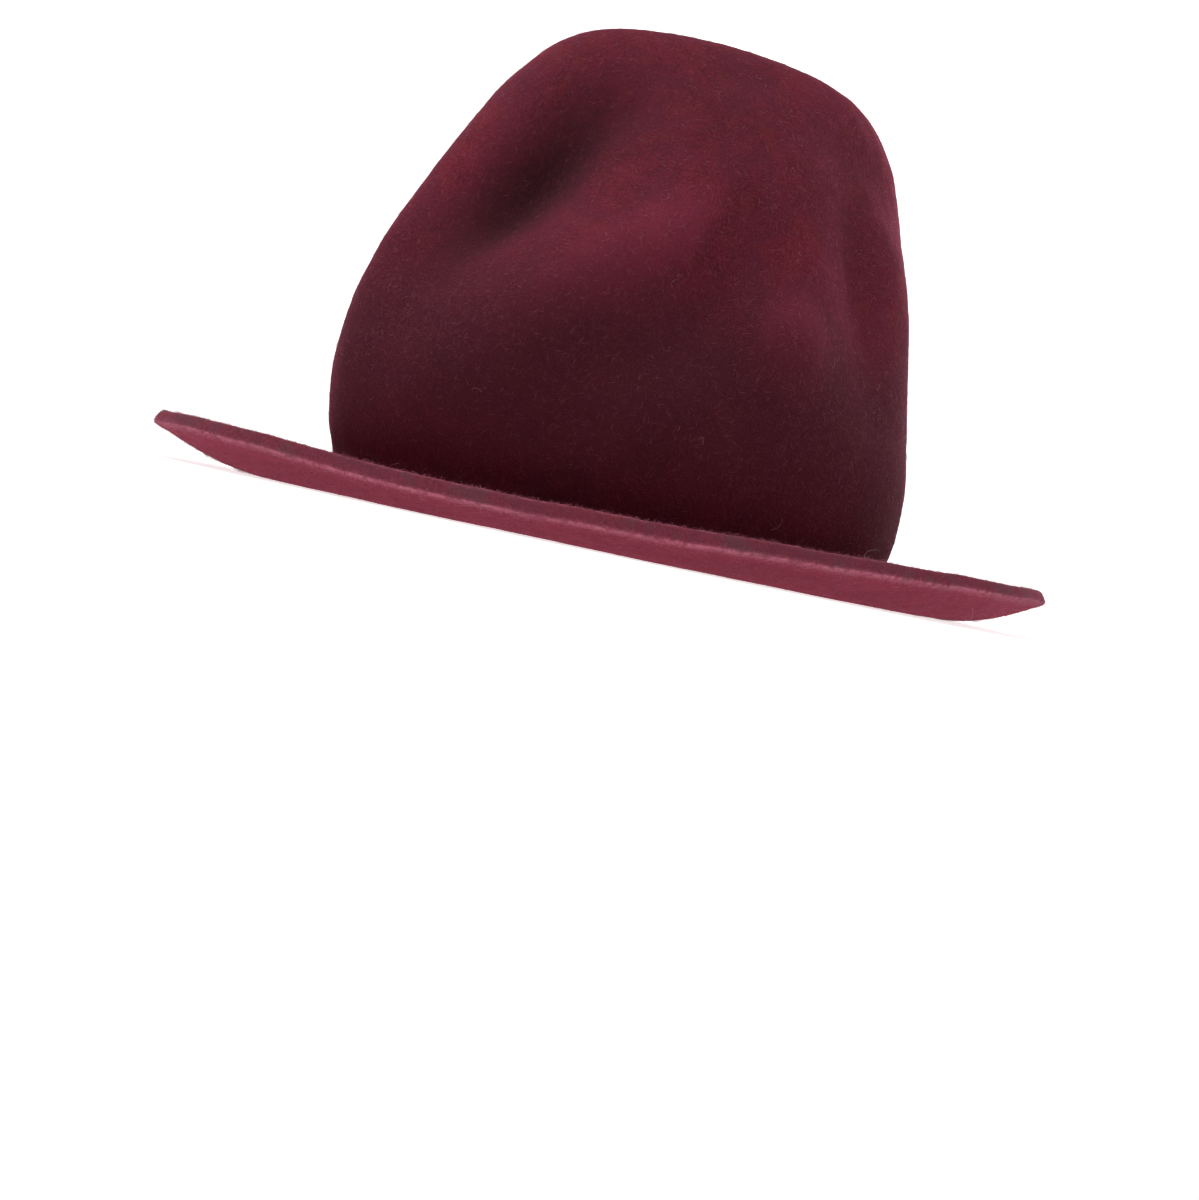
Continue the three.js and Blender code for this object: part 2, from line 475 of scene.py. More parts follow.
def give_values(mesh, name, values):
    """Stores a number or a vector for each point of the mesh."""
    values = np.asarray(values, np.float32)
    kind, part = ("FLOAT", "value") if values.ndim == 1 else ("FLOAT_VECTOR", "vector")
    mesh.attributes.new(name, kind, "POINT").data.foreach_set(part, values.ravel())


def give_colours(mesh, name, values):
    """Stores a colour for each point of the mesh."""
    layer = mesh.color_attributes.new(name, "FLOAT_COLOR", "POINT")
    full = np.ones((len(values), 4), np.float32)
    full[:, :3] = values
    layer.data.foreach_set("color", full.ravel())


def mesh_points(mesh):
    """The mesh's points as rows of millimetres."""
    places = np.zeros(len(mesh.vertices) * 3)
    mesh.vertices.foreach_get("co", places)
    return places.reshape(-1, 3) / MM


def skin_faces(rings, columns, closed=True):
    """Faces between rings of points, where the last column joins the first if closed."""
    faces = []
    for ring in range(rings - 1):
        for column in range(columns if closed else columns - 1):
            after = (column + 1) % columns
            first, second = ring * columns, (ring + 1) * columns
            faces.append((first + column, second + column, second + after, first + after))
    return faces


# Sections and points of the felt, for whole rows of angles

def smooth_rows(rows, places):
    """Rows read between those of a table. rows(index) gives a table row as an array."""
    found = []
    for place in np.atleast_1d(places):
        start = math.floor(place)
        share = place - start
        a, b, c, d = (rows(start + step) for step in (-1, 0, 1, 2))
        bend = 2 * a - 5 * b + 4 * c - d
        twist = 3 * (b - c) + d - a
        found.append(b + 0.5 * share * ((c - a) + share * (bend + share * twist)))
    return np.array(found)


def crown_row(index):
    """A row of the crown's table. The wall leaves the bend upright and passes level over the top."""
    top = len(CROWN_SECTIONS) - 1
    mirror = np.array([1, -1, -1, -1, 1])
    if index < 0:
        row = np.array(CROWN_SECTIONS[1], float)
        row[0] = 2 * CROWN_SECTIONS[0].height - row[0]
        return row
    if index > top:
        return np.array(CROWN_SECTIONS[2 * top - index], float) * mirror
    return np.array(CROWN_SECTIONS[index], float)


def brim_row(index):
    """A row of the brim's table, which goes round."""
    return np.array(BRIM_SECTIONS[index % len(BRIM_SECTIONS)], float)


def reach(angles, front, back, side):
    """How far an oval section reaches from the middle at those angles."""
    ahead = np.where(np.cos(angles) >= 0, front, back)
    return 1 / np.hypot(np.sin(angles) / side, np.cos(angles) / ahead)


def all_round(count):
    """That many even angles all the way round."""
    return np.arange(count) / count * 2 * math.pi


def opening_reach(angles):
    """How far the head opening reaches at those angles."""
    return reach(angles, OPENING_FRONT, OPENING_FRONT, OPENING_SIDE)


def points_at(angles, radii, heights):
    """Points from their angles, radii and heights."""
    heights = np.broadcast_to(heights, np.broadcast(angles, radii, heights).shape)
    return np.stack([radii * np.sin(angles), -radii * np.cos(angles), heights], -1)


def crown_ring(angles, place):
    """The inside of the crown at one place of its table."""
    height, front, back, side, tilt = smooth_rows(crown_row, place)[0]
    radii = reach(angles, front, back, side)
    return points_at(angles, radii, height + tilt * radii * np.cos(angles))


def bend_ring(angles, share):
    """The underside of the bend between crown and brim, from upright at 0 to flat at 1."""
    turn = share * math.pi / 2
    radii = opening_reach(angles) + BEND_RADIUS * (1 - math.cos(turn))
    return points_at(angles, radii, BEND_RADIUS * (1 - math.sin(turn)))


def brim_ring(angles, share):
    """The underside of the brim, from the bend at 0 to the rim at 1."""
    eighths = angles / (2 * math.pi) * len(BRIM_SECTIONS)
    width, lift = smooth_rows(brim_row, eighths).T
    radii = opening_reach(angles) + BEND_RADIUS + share * (width - BEND_RADIUS)
    curl = max(share - FLAT_SHARE, 0) / (1 - FLAT_SHARE)
    return points_at(angles, radii, lift * curl**CURL_POWER)


def even_places(count, first_radius):
    """Places of the crown's table, from near its top to its foot, an even way apart at the side."""
    side = np.array([math.pi / 2])
    tried = np.linspace(len(CROWN_SECTIONS) - 1, 0, TRIED_PLACES)
    outline = np.array([crown_ring(side, place)[0] for place in tried[1:]])
    outline = np.vstack([[0, 0, CROWN_SECTIONS[-1].height], outline])
    ways = np.concatenate([[0], np.cumsum(np.linalg.norm(np.diff(outline, axis=0), axis=1))])
    return np.interp(np.linspace(first_radius, ways[-1], count), ways, tried)


def unit(vectors):
    """The vectors made one long."""
    return vectors / np.linalg.norm(vectors, axis=-1, keepdims=True)


def ring_normals(rings):
    """Unit normals that point away from the felt: into the hollow, and down under the brim."""
    down = np.empty_like(rings)
    down[1:-1] = rings[2:] - rings[:-2]
    down[0] = rings[1] - rings[0]
    down[-1] = rings[-1] - rings[-2]
    around = np.roll(rings, -1, axis=1) - np.roll(rings, 1, axis=1)
    return unit(np.cross(around, down))


def folded(rings, crown_rings, angles):
    """(the rings with the crown's dents and swells pressed in, the depth pressed in)."""
    normals = ring_normals(rings)
    steps = np.linalg.norm(np.diff(rings[:crown_rings], axis=0), axis=-1)
    lengths = np.zeros(rings.shape[:2])
    lengths[: crown_rings - 1] = np.cumsum(steps[::-1], axis=0)[::-1]
    radii = np.hypot(rings[..., 0], rings[..., 1])
    depth = np.zeros(rings.shape[:2])
    for fold in FOLDS:
        middle = math.radians(fold.angle)
        column = round((fold.angle % 360) / 360 * len(angles)) % len(angles)
        heights = rings[:crown_rings, column, 2][::-1]
        middle_length = np.interp(fold.height, heights, lengths[:crown_rings, column][::-1])
        turn = (angles - middle + math.pi) % (2 * math.pi) - math.pi
        sideways = turn * radii
        upwards = lengths - middle_length
        slant = math.radians(fold.slant)
        along = sideways * math.cos(slant) + upwards * math.sin(slant)
        across = upwards * math.cos(slant) - sideways * math.sin(slant)
        depth += fold.depth * np.exp(-((along / fold.length) ** 2) - (across / fold.width) ** 2)
    depth[crown_rings:] = 0
    return rings + normals * depth[..., None], depth


def roughness_of(points, size, seed):
    """Soft noise from -1 to 1 at points in millimetres, with features of that size."""
    shift = Vector((seed * 17.0, seed * 5.0, seed * 11.0))
    values = [noise.noise(Vector(point) / size + shift) for point in points.reshape(-1, 3)]
    return np.reshape(values, points.shape[:-1])


# The felt body

CROWN_RINGS = 104
BEND_RINGS = 7
BRIM_RINGS = 28
FELT_COLUMNS = 300
FIRST_WAY = 1.6
RIM_ROUND = 1.8
RIM_STEPS = (-0.98, -0.93, -0.85, -0.72, -0.45, 0, 0.45, 0.72, 0.85, 0.93, 0.98)
RIM_SQUARENESS = 3.2
RIM_HOLLOW = 0.15
OUTWARD_RINGS = 3
TOP_CALM = (0.1, 0.3, 0.6, 0.8)
WAVE_SIZE = 34
DIMPLE_SIZE = 7
PIT_SIZE = 2.6
PIT_SHARE = 0.6
WOBBLE_SIZES = (9, 2.2)
WOBBLE_DEPTHS = (0.25, 0.22)
CROWN_BEND_RINGS = 3
ARRIS_PLACE = 0.9
ARRIS_WIDTH = 0.14
ARRIS_BESIDE = 0.55
COMBED_DEPTH = 12
COMBED_SHARE = 0.75


def felt_rings(angles):
    """The felt's inner and under side, as rings from the top of the crown to just before the rim."""
    rings = [crown_ring(angles, place) for place in even_places(CROWN_RINGS, FIRST_WAY)]
    rings += [bend_ring(angles, step / BEND_RINGS) for step in range(1, BEND_RINGS + 1)]
    last = 1 - RIM_ROUND / (BRIM_SECTIONS[0].width - BEND_RADIUS)
    rings += [brim_ring(angles, last * step / BRIM_RINGS) for step in range(1, BRIM_RINGS + 1)]
    return folded(np.array(rings), CROWN_RINGS, angles)


def felt_walls(hat):
    """(the under side's rings, the upper side's rings, the folds' depth), slightly uneven."""
    under, pressed = felt_rings(all_round(FELT_COLUMNS))
    normals = ring_normals(under)
    waves = roughness_of(under, WAVE_SIZE, 1) * hat.wave_depth / MM
    dimples = roughness_of(under, DIMPLE_SIZE, 2) * hat.dimple_depth / MM
    calm = np.ones(len(under))
    calm[: len(TOP_CALM)] = TOP_CALM
    under = under + normals * ((waves + dimples) * calm[:, None])[..., None]
    rim_ways = np.linalg.norm(under - under[-1], axis=-1)
    share = np.clip(1 - rim_ways / RIM_SWELL, 0, 1)
    wall = (hat.wall + (hat.rim_wall - hat.wall) * share) / MM
    pits = roughness_of(under, PIT_SIZE, 3) * hat.dimple_depth / MM * PIT_SHARE
    upper = under - normals * (wall + pits * calm[:, None])[..., None]
    under[..., 2] = np.maximum(under[..., 2], 0)
    return under, upper, pressed


def rim_rings(under, upper):
    """Rings across the cut rim, with a worn arris at each side and a slightly hollow face."""
    outward = unit(under[-1] - under[-1 - OUTWARD_RINGS])
    middle = (under[-1] + upper[-1]) / 2
    half = (upper[-1] - under[-1]) / 2
    rings = []
    for step in RIM_STEPS:
        bulge = RIM_ROUND * (1 - abs(step) ** RIM_SQUARENESS) ** 0.5
        bulge -= RIM_HOLLOW * (1 - step**2) ** 2
        ring = middle + half * step + outward * bulge
        wobble = np.zeros(len(ring))
        for seed, (size, depth) in enumerate(zip(WOBBLE_SIZES, WOBBLE_DEPTHS), start=4):
            wobble += roughness_of(ring, size, seed) * depth
        rings.append(ring + outward * wobble[:, None])
    return np.array(rings)


def felt_mesh(hat):
    """The whole felt body with what its surface is marked with."""
    under, upper, pressed = felt_walls(hat)
    rim = rim_rings(under, upper)
    rings = np.concatenate([upper, rim[::-1], under[::-1]])
    count, columns = rings.shape[:2]
    points = list(rings.reshape(-1, 3))
    faces = skin_faces(count, columns)
    top = len(points)
    points.append(rings[0].mean(axis=0))
    points.append(rings[-1].mean(axis=0))
    last = (count - 1) * columns
    for column in range(columns):
        after = (column + 1) % columns
        faces.append((top, column, after))
        faces.append((top + 1, last + after, last + column))
    mesh = mesh_from("felt_body_wool", points, faces)
    foot = CROWN_RINGS + CROWN_BEND_RINGS
    side = CROWN_RINGS + BEND_RINGS + BRIM_RINGS
    rim_count = len(RIM_STEPS)
    crown, brim, edge, arris = np.zeros((4, count))
    crown[:foot] = 1
    brim[foot:side] = 1
    brim[side + rim_count : side + rim_count + BRIM_RINGS + 2] = 1
    edge[side - 1 : side + rim_count + 1] = 1
    for step, place in enumerate(reversed(RIM_STEPS)):
        arris[side + step] = math.exp(-(((abs(place) - ARRIS_PLACE) / ARRIS_WIDTH) ** 2))
    arris[side - 1] = arris[side + rim_count] = ARRIS_BESIDE
    marks = {"crown": crown, "brim": brim, "edge": edge, "arris": arris}
    for name, values in marks.items():
        give_values(mesh, name, [*np.repeat(values, columns), values[0], values[-1]])
    pressed = np.concatenate([pressed, np.zeros((rim_count, columns)), pressed[::-1]])
    give_values(mesh, "pressed", [*pressed.ravel(), 0, 0])
    combed = crown[:, None] * (1 - COMBED_SHARE * np.clip(pressed / COMBED_DEPTH, 0, 1))
    give_values(mesh, "combed", [*combed.ravel(), 1, 1])
    return mesh


class Strands(NamedTuple):
    """Stray fibres of one size in millimetres, which show where noise rises from low to high."""

    length: float
    width: float
    low: float
    high: float
    turns: tuple


PALE_TURNS = ((12, 8, 20), (70, 35, 95), (-40, 60, 150), (25, -65, 60))
DARK_TURNS = ((-15, 80, 40), (55, 10, -30))
PALE_STRANDS = Strands(3.4, 0.16, 0.63, 0.74, PALE_TURNS)
DARK_STRANDS = Strands(2.6, 0.22, 0.62, 0.76, DARK_TURNS)
CLOUD_SIZE = 38
MAUVE_SIZE = 15
WARM_SIZE = 8
MOTTLE_SIZE = 5.5
WOOL_SIZE = 0.8
# Size of the patches of pale fuzz and painted highlight along the arrises
ARRIS_FUZZ_AND_HIGHLIGHT_SIZE = 2.2
# Size of the patches of greyed raw wool and painted light on the cut rim
GREY_AND_LIT_RIM_SIZE = 9
# Fold depths over which the dents are given painted shade
DENT_SHADE_DEPTHS = (1.0, 16.0)
# Fold depths over which the swells are given a painted highlight
SWELL_HIGHLIGHT_DEPTHS = (0.5, 4.0)
# Heights of the painted shade round the lower crown, and where it eases off at the very foot
FOOT_SHADE_HEIGHTS = (104, 56)
FOOT_SHADE_EASING_HEIGHTS = (12, 50)


def felt_material(hat):
    """Milled wool felt: a heathered ground, darker clouds, pale stray fibres and arrises, painted light
    and shade.
    """
    material, graph = new_material("burgundy_felt")
    place = graph.millimetres()
    clouds = graph.grain(place, CLOUD_SIZE, 2.5)
    mottle = graph.grain(place, MOTTLE_SIZE, 3.0, 0.6)
    fine = graph.grain(place, WOOL_SIZE, 2.0, 0.65)
    mauve = graph.between(graph.grain(place, MAUVE_SIZE, 2.5), 0.38, 0.62)
    warm = graph.between(graph.grain(place, WARM_SIZE, 2.5), 0.5, 0.68)
    tone = 0.5 + (clouds - 0.5) * 0.5 + (mottle - 0.5) * 0.3 + (fine - 0.5) * 1.0
    stops = ((0.22, hat.deep_colour), (0.50, hat.felt_colour), (0.80, hat.light_colour))
    ground = graph.ramp(tone, stops)
    pale = graph.between(graph.strands(place, PALE_STRANDS), 0.0, 1.3)
    dark = graph.strands(place, DARK_STRANDS)
    marks = ("crown", "brim", "edge", "arris", "pressed")
    crown, brim, edge, arris, pressed = (graph.attribute(name) for name in marks)
    # Partly pale fuzz, partly painted highlight: the arrises of the cut rim are paled where they catch
    # the light
    worn = arris * graph.between(graph.grain(place, ARRIS_FUZZ_AND_HIGHLIGHT_SIZE), 0.36, 0.6, 0.3, 1.0)
    # Partly greyed raw wool, partly painted light: the cut rim is paled in patches, standing in for
    # light from below
    grey_and_lit_rim = edge * graph.between(graph.grain(place, GREY_AND_LIT_RIM_SIZE), 0.42, 0.62)
    # Painted shade: the felt is darkened deep in the dents, where little light reaches
    dent = graph.between(pressed, *DENT_SHADE_DEPTHS) * (0.62 + fine * 0.5)
    # Painted highlight: the swells of the crown are lightened where light from above falls on them
    swell = graph.between(0 - pressed, *SWELL_HIGHLIGHT_DEPTHS) * (0.1 + fine * 1.1 + (mottle - 0.5) * 0.5)
    height = graph.parts(place)["Z"]
    # Painted shade: the crown darkens downwards in a band above the brim, which shades it, less at the
    # very foot
    foot = crown * graph.between(height, *FOOT_SHADE_HEIGHTS)
    foot = foot * graph.between(height, *FOOT_SHADE_EASING_HEIGHTS, 0.6, 1.0)
    # Wool colours mixed over the ground, among them painted shade and painted light
    layers = (
        (mauve * 0.5, hat.mauve_colour),
        (warm * 0.22, hat.warm_colour),
        # Painted shade in the dents
        (dent, hat.dent_shade_colour),
        # Painted highlight on the swells
        (swell, hat.light_colour),
        # Painted shade round the lower crown
        (foot * (0.45 + fine * 0.62), hat.deep_colour),
        # Painted light: the whole brim is lightened, standing in for light thrown up onto it from below
        (brim * (0.1 + fine * 0.8), hat.light_colour),
        (dark * 0.3, hat.deep_colour),
        # Fewer pale fibre marks where the dents carry painted shade
        (pale * (0.5 - dent * 0.35), hat.fibre_colour),
        # The whole cut rim and patches of it are paled: partly greyed raw wool, partly painted light
        # from below
        (edge * 0.14, hat.fibre_colour),
        (grey_and_lit_rim * 0.55, hat.rim_colour),
        # Pale fuzz and painted highlight along the arrises
        (worn * 0.9, hat.fibre_colour),
    )
    colour = ground
    for share, wool in layers:
        colour = graph.mix(share, colour, wool)
    relief = fine * 0.55 + mottle * 0.35 + pale * 0.35
    graph.finish_surface({
        "Base Color": colour,
        "Roughness": graph.between(fine, 0.2, 0.8, 0.86, 0.98),
        "Specular IOR Level": 0.05,
        "Sheen Weight": hat.sheen,
        "Sheen Roughness": 0.2,
        "Sheen Tint": (0.9, 0.15, 0.28),
        "Normal": graph.bump(relief, 0.42, 0.9),
    })
    return material


# The nap

FIBRE_SIZES = (0.55, 1.35)
FIBRE_BEND = 0.48
FIBRE_LIFT = 0.09
FIBRE_DROP = 0.02
HAIR_STEPS = 8
HAIR_CURL = 2.4
HAIR_WIDENING = 1.4
HAIR_REACH = (0.42, 0.30, 0.10)
HAIR_TAPER = 0.6
HAIR_THICKNESS = 1.3
SHORT_SHARE = 0.5
RIM_HAIRS = 6
FIRST_SEED = 7
SEED_STEP = 10
SQUARE_CENTIMETRE = 0.0001


def fibre_object(length, thickness):
    """A bent fibre from the origin along +X, three-sided and pointed at both ends."""
    sides = [math.radians(angle) for angle in (90, 210, 330)]
    radius = thickness / 2
    points = [(0, 0, 0)]
    for side in sides:
        height = length * FIBRE_LIFT + radius * math.sin(side)
        points.append((length * FIBRE_BEND, radius * math.cos(side), height))
    points.append((length, 0, -length * FIBRE_DROP))
    faces = [(0, 2, 1), (0, 3, 2), (0, 1, 3), (4, 1, 2), (4, 2, 3), (4, 3, 1)]
    return bpy.data.objects.new("fibre", mesh_from("fibre", points, faces))


def hair_object(length, thickness):
    """A long curling hair from the origin, three-sided, that stays near the surface."""
    ahead, aside, above = (length * share for share in HAIR_REACH)
    sides = 3
    points = []
    for step in range(HAIR_STEPS + 1):
        share = step / HAIR_STEPS
        turn = HAIR_CURL * share**HAIR_WIDENING
        radius = thickness / 2 * (1 - HAIR_TAPER * share)
        for side in range(sides):
            around = 2 * math.pi * side / sides
            points.append((
                ahead * math.sin(turn) + radius * math.cos(around) * math.sin(turn),
                aside * (1 - math.cos(turn)) + radius * math.cos(around) * math.cos(turn),
                above * math.sin(math.pi * share) + radius * math.sin(around),
            ))
    faces = skin_faces(HAIR_STEPS + 1, sides)
    last = HAIR_STEPS * sides
    faces += [(0, 1, 2), (last + 2, last + 1, last)]
    return bpy.data.objects.new("hair", mesh_from("hair", points, faces))


def nap_tree():
    """Scatters bent fibres over the marked part of a surface."""
    graph, given = new_shape_graph("nap", {
        "Mark": "String",
        "Fibre": "Object",
        "Density": "Float",
        "Lowest tilt": "Float",
        "Highest tilt": "Float",
        "Seed": "Int",
        "Material": "Material",
    })
    roots = graph.node("GeometryNodeDistributePointsOnFaces", {
        "Mesh": given["Geometry"],
        "Density": given["Density"] * graph.marked(given["Mark"], "FLOAT"),
        "Seed": given["Seed"],
    }, distribute_method="RANDOM")
    spin = graph.chance(0.0, 2 * math.pi, given["Seed"] + 1)
    tilt = graph.chance(given["Lowest tilt"], given["Highest tilt"], given["Seed"] + 2)
    size = graph.chance(*FIBRE_SIZES, given["Seed"] + 3)
    lean = graph.vector(X=spin * 0.5, Y=0 - tilt, Z=spin)
    turned = graph.node("FunctionNodeRotateRotation", {
        "Rotation": roots["Rotation"],
        "Rotate By": graph.node("FunctionNodeEulerToRotation", {"Euler": lean}),
    }, rotation_space="LOCAL")
    fibre = graph.node("GeometryNodeObjectInfo", {"Object": given["Fibre"]}, "Geometry")
    return finish_shape(graph, given["Material"], {
        "Points": roots["Points"],
        "Instance": fibre,
        "Rotation": turned,
        "Scale": size,
    })


def keep_above_floor(mesh):
    """Presses flat what would hang below the surface that the brim rests on."""
    points = mesh_points(mesh)
    points[:, 2] = np.maximum(points[:, 2], 0)
    mesh.vertices.foreach_set("co", (points * MM).ravel())
    mesh.update()


def fibre_material(name, colour):
    """A single wool fibre, too thin to show a pattern of its own."""
    material, graph = new_material(name)
    graph.finish_surface({
        "Base Color": colour,
        "Roughness": 0.9,
        "Specular IOR Level": 0.2,
        "Sheen Weight": 0.3,
        "Sheen Tint": (0.9, 0.5, 0.6),
    })
    return material


# The sweatband ribbon and what lies on it

RIBBON_GAP = 0.3
RIB_SINK = 0.1
LABEL_GAP = 0.3
THREAD_LIFT = 0.3
COLUMNS_PER_RIB = 4
PATH_POINTS = 720
BAND_WAYS = (0.0, 1.3, 2.6, 3.9, 5.2, 6.5, 7.8, 12, 18, 24, 29)
RIB_WAYS = (0.15, 0.6, 2.4, 4.2, 6.0, 7.8)
RIB_TURNS = (0, 40, 90, 140, 180, 270)
UNSLANTED_WAY = 16
RIBBON_THREAD = 0.34
RIBBON_TWIST = 1.6
BAND_STITCH_POINTS = 400
BAND_STITCH_WAY = 1.8
LABEL_STITCH_POINTS = 40
LABEL_STITCH_SHARE = 0.95
LABEL_STITCH_SCALE = 0.62
LABEL_LOWER_WAY = 1
LABEL_WARP = 0.32
LABEL_WEFT = 0.24
LABEL_REPEAT = 1.28
LABEL_ROWS = 49
LABEL_COLUMNS = 97
LABEL_CROWDING = 1.3
LABEL_ROUND = 0.35
LABEL_FOLD = 5.2
LABEL_FOLD_RISE = 0.25
FOLD_SHARPNESS = 4
PUCKER_DEPTH = 0.14
PUCKER_TURNS = (9.4, 2.1)


def ribbon_points(band, angles, ways, depths):
    """Points of the ribbon by their way up from its lower edge and their depth from the felt."""
    lower_turn = band.lower_turn
    rolled = lower_turn * BEND_RADIUS
    ways = np.asarray(ways, float)
    turns = lower_turn * (1 - np.clip(ways / rolled, 0, 1))
    radius = BEND_RADIUS + depths
    rise = np.maximum(ways - rolled, 0)
    lean = band.flare / MM * rise / (band.height / MM - rolled)
    across = opening_reach(angles) + BEND_RADIUS - radius * np.cos(turns) + lean
    return points_at(angles, across, BEND_RADIUS - radius * np.sin(turns) + rise)


def stripe_colours(angles, ways, kind):
    """The yarn colour of the ribs or grooves at angles in radians and ways in millimetres."""
    degrees = np.degrees(angles) % 360
    colours = np.zeros((len(degrees), 3))
    colours[:] = YARNS[getattr(STRIPES[-1], kind)]
    for stripe in STRIPES:
        start = stripe.start + stripe.slant * (1 - ways / UNSLANTED_WAY)
        colours[degrees >= start] = YARNS[getattr(stripe, kind)]
    return colours


def around_and_up(band, points):
    """(angles, ways) of points near the ribbon, in radians and millimetres."""
    angles = np.arctan2(points[:, 0], -points[:, 1])
    rolled = band.lower_turn * BEND_RADIUS
    radii = np.hypot(points[:, 0], points[:, 1])
    from_middle = opening_reach(angles) + BEND_RADIUS - radii
    turns = np.arctan2(BEND_RADIUS - points[:, 2], from_middle)
    below = rolled - np.clip(turns, 0, None) * BEND_RADIUS
    return angles, np.where(points[:, 2] > BEND_RADIUS, rolled + points[:, 2] - BEND_RADIUS, below)


def mark_weave(band, mesh, kind):
    """Gives a ribbon mesh its stripes, and its place along and up the ribbon in millimetres."""
    points = mesh_points(mesh)
    angles, ways = around_and_up(band, points)
    give_colours(mesh, "stripe", stripe_colours(angles, ways, kind))
    along = angles * (OPENING_FRONT + OPENING_SIDE) / 2
    give_values(mesh, "weave", np.stack([along, ways, np.zeros(len(ways))], -1))


def band_mesh(band):
    """The ribbon's ground, between and behind the ribs."""
    columns = band.ribs * COLUMNS_PER_RIB
    angles = all_round(columns)
    height = band.height / MM
    ways = [*BAND_WAYS, height]
    outer, inner = RIBBON_GAP, RIBBON_GAP + band.ground / MM
    loop = [ribbon_points(band, angles, way, outer) for way in ways]
    loop += [ribbon_points(band, angles, way, inner) for way in reversed(ways)]
    loop.append(loop[0])
    faces = skin_faces(len(loop), columns)
    size = (len(loop) - 1) * columns
    faces = [tuple(corner % size for corner in face) for face in faces]
    points = np.concatenate(loop[:-1])
    mesh = mesh_from("sweatband_ribbon", points, faces)
    mark_weave(band, mesh, "groove")
    return mesh


def rib_object(band):
    """One raised rib across the ribbon, at the front of the opening, with a rounded section."""
    height = band.height / MM
    ways = [*RIB_WAYS, height - RIB_WAYS[1], height - RIB_WAYS[0]]
    taper = [0.3] + [1.0] * (len(ways) - 2) + [0.3]
    half = math.pi * OPENING_FRONT / band.ribs * band.rib_share
    base = RIBBON_GAP + band.ground / MM - RIB_SINK
    tall = band.rib_height / MM + RIB_SINK
    outline = [math.radians(turn) for turn in RIB_TURNS]
    rings = []
    for way, size in zip(ways, taper):
        ring = []
        for turn in outline:
            depth = base + tall * max(math.sin(turn), -0.2) * size
            point = ribbon_points(band, np.array([0.0]), way, depth)[0]
            ring.append((half * size * math.cos(turn), point[1] + OPENING_FRONT, point[2]))
        rings.append(ring)
    count = len(outline)
    points = [point for ring in rings for point in ring]
    faces = skin_faces(len(rings), count)
    faces.append(tuple(reversed(range(count))))
    last = (len(rings) - 1) * count
    faces.append(tuple(range(last, last + count)))
    return bpy.data.objects.new("rib", mesh_from("rib", points, faces))


def rib_tree():
    """Sets ribs side by side along a level path, each turned to the path."""
    graph, given = new_shape_graph("ribs", {
        "Rib": "Object",
        "Count": "Int",
        "Material": "Material",
    })
    places = points_along(graph, given["Geometry"], "COUNT", {"Count": given["Count"]})
    tangent = {"Vector": graph.node("GeometryNodeInputTangent")}
    turned = graph.node("FunctionNodeAlignRotationToVector", tangent, axis="X", pivot_axis="Z")
    rib = graph.node("GeometryNodeObjectInfo", {"Object": given["Rib"]}, "Geometry")
    return finish_shape(graph, given["Material"], {
        "Points": places,
        "Instance": rib,
        "Rotation": turned,
    })


def ribbon_material():
    """Ribbed silk-like ribbon: yarn-dyed stripes with fine warp threads round each rib."""
    material, graph = new_material("striped_ribbon")
    parts = graph.parts(graph.attribute("weave", "Vector"))
    place = graph.millimetres()
    threads = graph.wave(parts["Y"], RIBBON_THREAD, parts["X"] * RIBBON_TWIST)
    worn = graph.grain(place, 0.5)
    patches = graph.grain(place, 7)
    shade = 0.94 + (worn - 0.5) * 0.5 + (patches - 0.5) * 0.35 + threads * 0.07
    graph.finish_surface({
        "Base Color": graph.mix(1.0, graph.attribute("stripe", "Color"), graph.grey(shade), "MULTIPLY"),
        "Roughness": graph.between(worn, 0.2, 0.8, 0.5, 0.75),
        "Specular IOR Level": 0.35,
        "Sheen Weight": 0.25,
        "Sheen Roughness": 0.4,
        "Normal": graph.bump(0.5 + threads * 0.35 + (worn - 0.5) * 0.3, 0.08),
    })
    return material


def half_label(label):
    """The angle from the middle of the label to its end."""
    return label.width / MM / 2 / opening_reach(label.angle)


def label_mesh(label, band):
    """A thin woven label with folded ends, slightly puckered, wrapped along the ribbon."""
    width, height = label.width / MM, label.height / MM
    thick = label.thickness / MM
    base = RIBBON_GAP + (band.ground + band.rib_height) / MM + LABEL_GAP
    shares = np.linspace(-1, 1, LABEL_COLUMNS)
    shares = np.sign(shares) * (1 - (1 - np.abs(shares)) ** LABEL_CROWDING)
    angles = label.angle + half_label(label) * shares
    to_side = (1 - np.abs(shares)) * width / 2
    front, back, flat = [], [], []
    for way_share in (1 - np.cos(np.linspace(0, math.pi, LABEL_ROWS))) / 2:
        way = LABEL_LOWER_WAY + height * way_share
        to_end = min(way_share, 1 - way_share) * height
        folded_end = LABEL_FOLD_RISE / (1 + np.exp((to_side - LABEL_FOLD) * FOLD_SHARPNESS))
        round_off = np.sqrt(1 - np.clip(1 - np.minimum(to_side, to_end) / LABEL_ROUND, 0, 1) ** 2)
        ripple = 1 + np.sin(shares * PUCKER_TURNS[0] + way_share * PUCKER_TURNS[1])
        pucker = PUCKER_DEPTH * ripple * math.sin(math.pi * way_share)
        back.append(ribbon_points(band, angles, way, base + pucker))
        front.append(ribbon_points(band, angles, way, base + pucker + (thick + folded_end) * round_off))
        flat.append(np.stack([shares * width / 2, np.full(len(shares), way), 0 * shares], -1))
    mesh = mesh_from("woven_label_bare", *slab(np.array(front), np.array(back)))
    give_values(mesh, "weave", np.concatenate([np.array(flat).reshape(-1, 3)] * 2))
    return mesh


